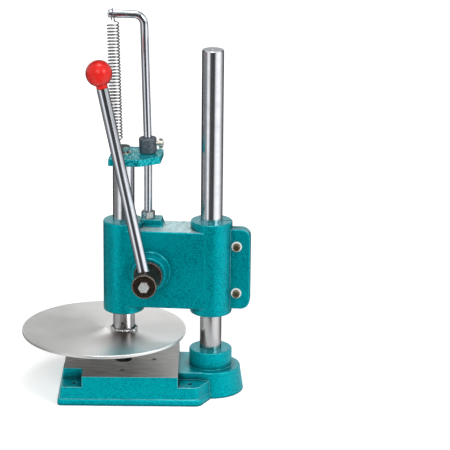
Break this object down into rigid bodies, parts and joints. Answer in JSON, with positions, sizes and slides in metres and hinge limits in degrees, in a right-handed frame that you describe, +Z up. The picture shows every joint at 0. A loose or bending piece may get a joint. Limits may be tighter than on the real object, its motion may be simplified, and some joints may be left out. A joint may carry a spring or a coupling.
{
  "type": "lever dough press",
  "caption": "Hand lever press with a round steel plate on a rack-driven ram, carried by a cast head that clamps on a column, for flattening dough.",
  "frame": {"origin": "centre of the four bench holes, on the base's underside", "axes": "+Z up along the column, +X from the press table towards the column, -Y the operator's side"},
  "size_m": [0.3199, 0.2299, 0.5396],
  "materials": {
    "teal_paint": "glossy hammered enamel",
    "ground_steel": "ground bar",
    "plate_steel": "satin, turned face",
    "weld_steel": "weld bead",
    "chrome_bar": "polished",
    "zinc": "bright zinc",
    "spring_steel": "drawn wire",
    "black_oxide": "blackened steel",
    "bronze": "turned bush",
    "gear_steel": "cut teeth, oiled",
    "red_knob": "glossy"
  },
  "bodies": {
    "base": {"base_casting": "teal_paint", "column_set_screws": "black_oxide"},
    "column": {"column": "ground_steel"},
    "head": {"head_casting": "teal_paint", "clamp_screws": "black_oxide", "clamp_washers": "zinc", "rear_cover": "teal_paint", "cover_screws": "black_oxide", "front_bush": "bronze", "rear_bush": "bronze", "spring_rod": "chrome_bar", "rod_nut": "zinc", "return_spring": "spring_steel"},
    "ram": {"ram": "ground_steel", "press_plate": "plate_steel", "weld_bead": "weld_steel", "yoke_plate": "teal_paint", "yoke_bolt": "zinc", "yoke_washer": "zinc"},
    "lever": {"pinion_shaft": "black_oxide", "pinion_gear": "gear_steel", "gear_key": "gear_steel", "shaft_collar": "black_oxide", "shaft_circlip": "black_oxide", "lever_rod": "chrome_bar", "lever_lock_bolt": "zinc", "ball_knob": "red_knob"},
    "collar": {"stop_collar": "black_oxide"},
    "wing": {"wing_screw": "zinc"}
  },
  "joints": [
    {"name": "column_turn", "type": "hinge", "parent": "base", "child": "column", "pos_m": [0.108, 0, 0.05], "axis": [0, 0, 1], "continuous": true},
    {"name": "head_lift", "type": "slide", "parent": "column", "child": "head", "axis": [0, 0, 1], "range_m": [0, 0.22]},
    {"name": "ram_slide", "type": "slide", "parent": "head", "child": "ram", "axis": [0, 0, -1], "range_m": [0, 0.035], "stiffness_N_per_m": 690, "springref_m": -0.086, "deforming": ["return_spring"]},
    {"name": "lever_turn", "type": "hinge", "parent": "head", "child": "lever", "pos_m": [0.02578, 0.00682, 0.1792], "axis": [-0.0826, -0.9966, 0], "range_deg": [0, 71.7]},
    {"name": "collar_slide", "type": "slide", "parent": "head", "child": "collar", "axis": [-0.0304, 0.0025, 0.9995], "range_m": [0, 0.14]},
    {"name": "wing_screw_turn", "type": "hinge", "parent": "collar", "child": "wing", "pos_m": [0.01944, 0.01336, 0.3525], "axis": [0.9966, -0.0826, 0], "range_deg": [0, 360]}
  ],
  "couplings": [
    {"joint": "lever_turn", "follows": "ram_slide", "rad_per_m": 35.714}
  ]
}
